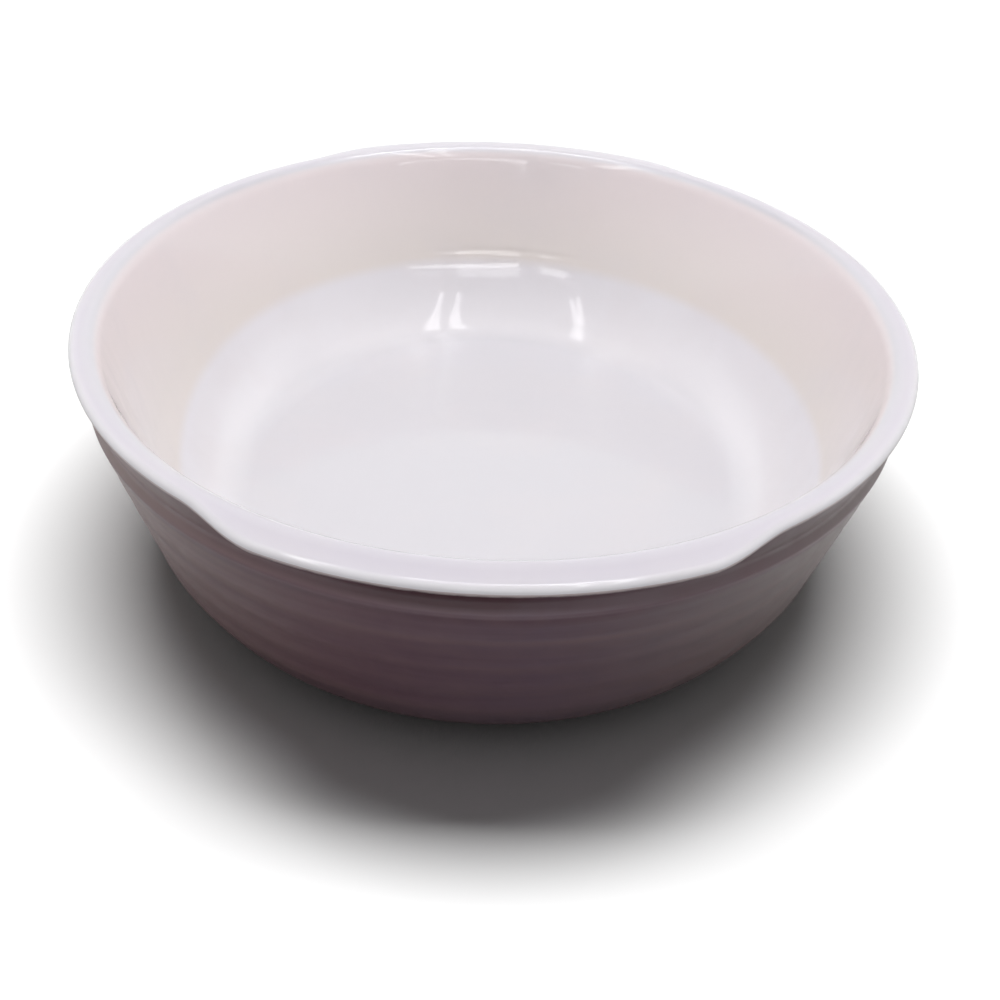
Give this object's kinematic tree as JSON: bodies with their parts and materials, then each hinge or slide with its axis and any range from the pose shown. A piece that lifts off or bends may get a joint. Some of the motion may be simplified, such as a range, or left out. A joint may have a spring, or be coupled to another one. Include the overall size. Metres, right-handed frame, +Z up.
{
  "type": "oval casserole dish",
  "caption": "Open oval stoneware baking dish with coved floor, ringed flared wall and lip handles at the ends, glazed white inside and mauve outside.",
  "frame": {"origin": "centre of the plane that the foot ring stands on", "axes": "+Z up out of the dish, Y along the oval from handle to handle, X across it"},
  "size_m": [0.2, 0.2586, 0.057],
  "materials": {
    "bare_stoneware": "fired unglazed clay, fine grit, matt",
    "white_glaze": "glossy white glaze",
    "mauve_glaze": "glossy mauve glaze, faintly mottled"
  },
  "bodies": {
    "root": {"stoneware_body": "bare_stoneware", "interior_glaze": "white_glaze", "exterior_glaze": "mauve_glaze", "underside_glaze": "mauve_glaze"}
  },
  "joints": []
}
